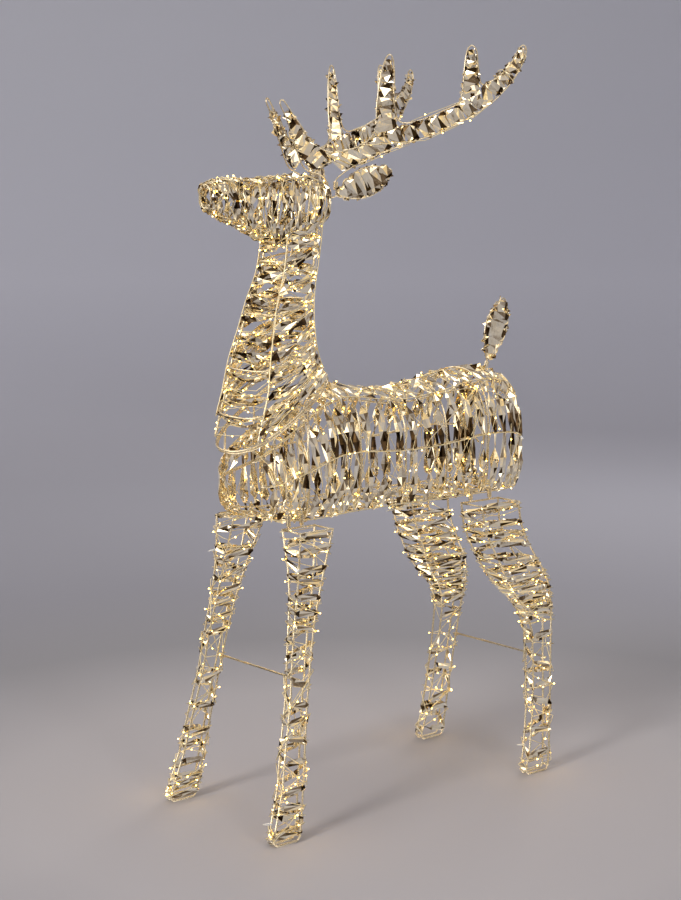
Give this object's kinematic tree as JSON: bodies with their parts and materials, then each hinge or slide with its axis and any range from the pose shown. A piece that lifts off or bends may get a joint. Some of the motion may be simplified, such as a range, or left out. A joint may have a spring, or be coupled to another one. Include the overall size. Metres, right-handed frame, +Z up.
{
  "type": "light up yard reindeer",
  "caption": "Standing reindeer of bent rod wound with mirror film ribbon and strings of warm lights, in plug-together sections.",
  "frame": {"origin": "on the ground at the bottom centre of the bounding box", "axes": "+X the way the muzzle points, +Y the animal's left, +Z up"},
  "size_m": [0.793, 0.3652, 1.5021],
  "materials": {
    "frame": "pale gold powder coat on bent and welded rod",
    "film": "champagne gold mirror film ribbon, creased",
    "lights": "thin gold wire with small warm white beads",
    "tie": "clear nylon",
    "cable_fitting": "moulded, pale grey gold"
  },
  "bodies": {
    "torso": {"torso_rails": "frame", "torso_hoop_1": "frame", "torso_hoop_2": "frame", "torso_hoop_3": "frame", "torso_hoop_4": "frame", "torso_hoop_5": "frame", "chest_hoop": "frame", "shoulder_hoop": "frame", "torso_collar_ring": "frame", "leg_sockets": "frame", "tail_socket": "frame", "splice_sleeve": "cable_fitting", "splice_cap": "cable_fitting", "lead_gland": "cable_fitting", "torso_film": "film", "torso_lights": "lights", "torso_ties": "tie"},
    "neck_and_head": {"neck_collar_ring": "frame", "neck_rails": "frame", "neck_hoops": "frame", "head_rails": "frame", "head_hoops": "frame", "antler_sockets": "frame", "neck_film": "film", "head_film": "film", "neck_lights": "lights", "head_lights": "lights", "left_ear_frame": "frame", "left_ear_film": "film", "right_ear_frame": "frame", "right_ear_film": "film"},
    "left_antler": {"left_antler_frame": "frame", "left_antler_film": "film", "left_antler_lights": "lights"},
    "right_antler": {"right_antler_frame": "frame", "right_antler_film": "film", "right_antler_lights": "lights"},
    "tail": {"tail_frame": "frame", "tail_film": "film"},
    "front_left_leg": {"front_left_leg_frame": "frame", "front_left_leg_film": "film", "front_left_leg_lights": "lights", "front_left_leg_ties": "tie"},
    "front_right_leg": {"front_right_leg_frame": "frame", "front_right_leg_film": "film", "front_right_leg_lights": "lights", "front_right_leg_ties": "tie"},
    "rear_left_leg": {"rear_left_leg_frame": "frame", "rear_left_leg_film": "film", "rear_left_leg_lights": "lights", "rear_left_leg_ties": "tie"},
    "rear_right_leg": {"rear_right_leg_frame": "frame", "rear_right_leg_film": "film", "rear_right_leg_lights": "lights", "rear_right_leg_ties": "tie"},
    "front_brace": {"front_brace": "frame"},
    "rear_brace": {"rear_brace": "frame"}
  },
  "joints": [
    {"name": "neck_lift", "type": "slide", "parent": "torso", "child": "neck_and_head", "axis": [0.5512, 0, 0.8344], "range_m": [0, 0.08]},
    {"name": "left_antler_lift", "type": "slide", "parent": "neck_and_head", "child": "left_antler", "axis": [0, 0, 1], "range_m": [0, 0.03]},
    {"name": "right_antler_lift", "type": "slide", "parent": "neck_and_head", "child": "right_antler", "axis": [-0.0258, -0.185, 0.9824], "range_m": [0, 0.03]},
    {"name": "tail_lift", "type": "slide", "parent": "torso", "child": "tail", "axis": [-0.342, 0, 0.9397], "range_m": [0, 0.02]},
    {"name": "front_left_leg_drop", "type": "slide", "parent": "torso", "child": "front_left_leg", "axis": [0, 0, -1], "range_m": [0, 0.04]},
    {"name": "front_right_leg_drop", "type": "slide", "parent": "torso", "child": "front_right_leg", "axis": [0, 0, -1], "range_m": [0, 0.04]},
    {"name": "rear_left_leg_drop", "type": "slide", "parent": "torso", "child": "rear_left_leg", "axis": [0, 0, -1], "range_m": [0, 0.04]},
    {"name": "rear_right_leg_drop", "type": "slide", "parent": "torso", "child": "rear_right_leg", "axis": [0, 0, -1], "range_m": [0, 0.04]},
    {"name": "front_brace_swing", "type": "hinge", "parent": "front_right_leg", "child": "front_brace", "pos_m": [0.26937, -0.131, 0.29], "axis": [0, 0, 1], "range_deg": [0, 90]},
    {"name": "rear_brace_swing", "type": "hinge", "parent": "rear_right_leg", "child": "rear_brace", "pos_m": [-0.37823, -0.13442, 0.234], "axis": [0, 0, 1], "range_deg": [0, 90]}
  ],
  "couplings": [
    {"joint": "front_right_leg_drop", "follows": "front_left_leg_drop", "ratio": 1},
    {"joint": "rear_right_leg_drop", "follows": "rear_left_leg_drop", "ratio": 1}
  ]
}
